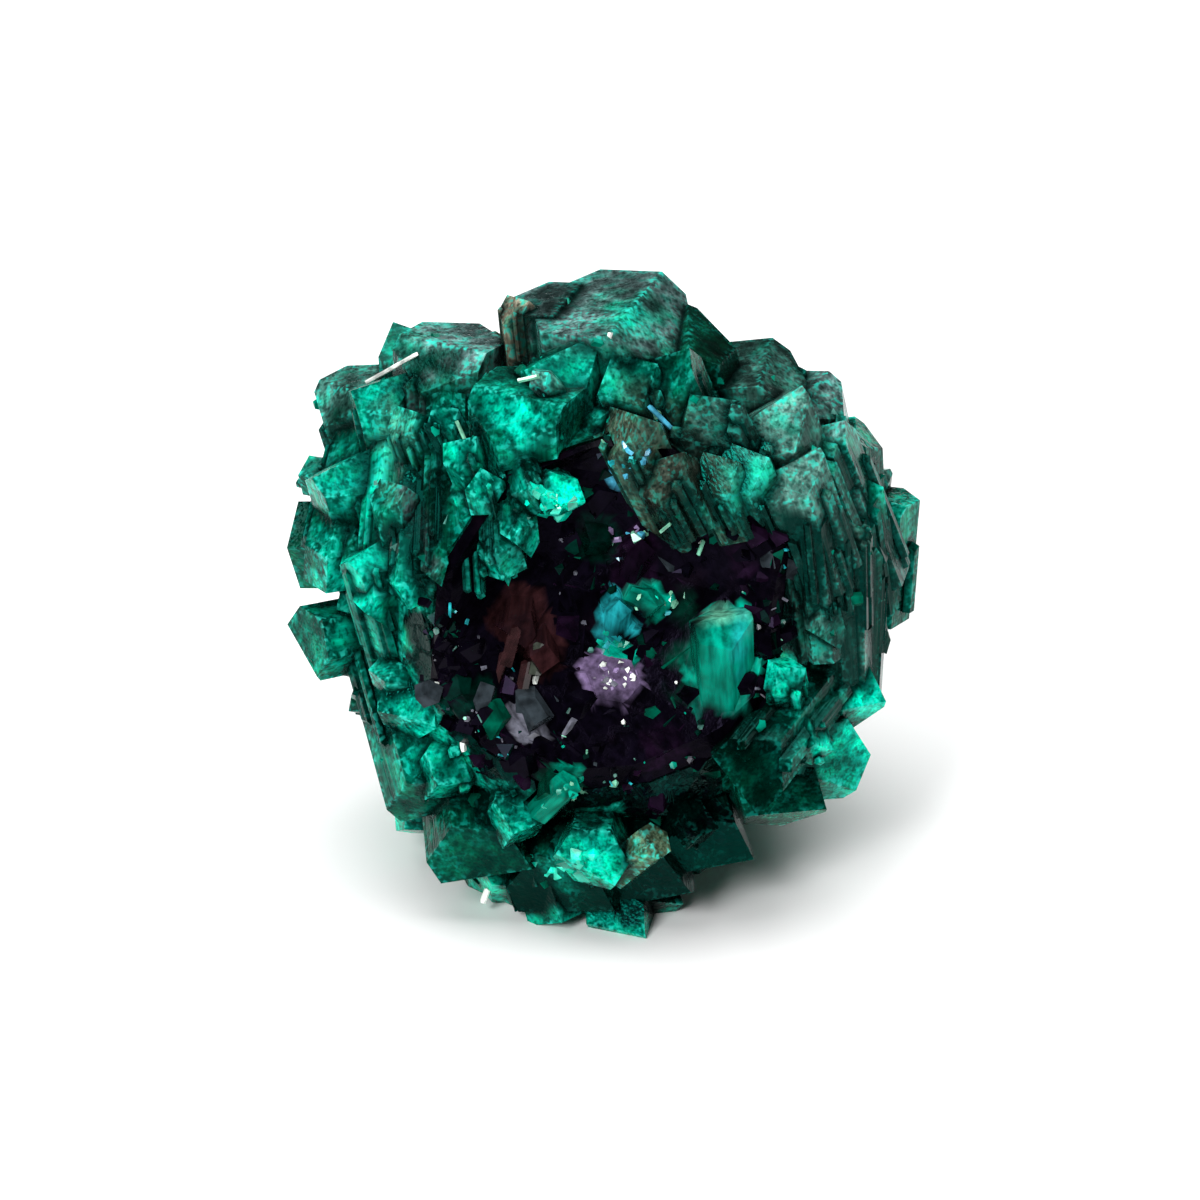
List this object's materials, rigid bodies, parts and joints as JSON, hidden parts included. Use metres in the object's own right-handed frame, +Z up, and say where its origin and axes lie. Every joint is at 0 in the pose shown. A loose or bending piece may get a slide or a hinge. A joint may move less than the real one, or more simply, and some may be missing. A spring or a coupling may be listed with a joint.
{
  "type": "dioptase crystal cluster",
  "caption": "Palm-sized cluster of intergrown emerald-green dioptase crystals, blocky and bladed, round a shallow hollow lined with dark druse; rests on a flat broken base.",
  "frame": {"origin": "bottom centre of the cluster's box, on the surface it rests on", "axes": "+Z up as it rests; +X to the viewer's right, along the widest extent; -Y towards the side with the dark hollow"},
  "size_m": [0.04, 0.0326, 0.0366],
  "materials": {
    "emerald_crystal": "vitreous, partly see-through emerald crystal with greyed upper faces",
    "dark_druse": "glittering, nearly black druse"
  },
  "bodies": {
    "root": {"dioptase_cluster": "emerald_crystal", "dark_druse": "dark_druse"}
  },
  "joints": []
}
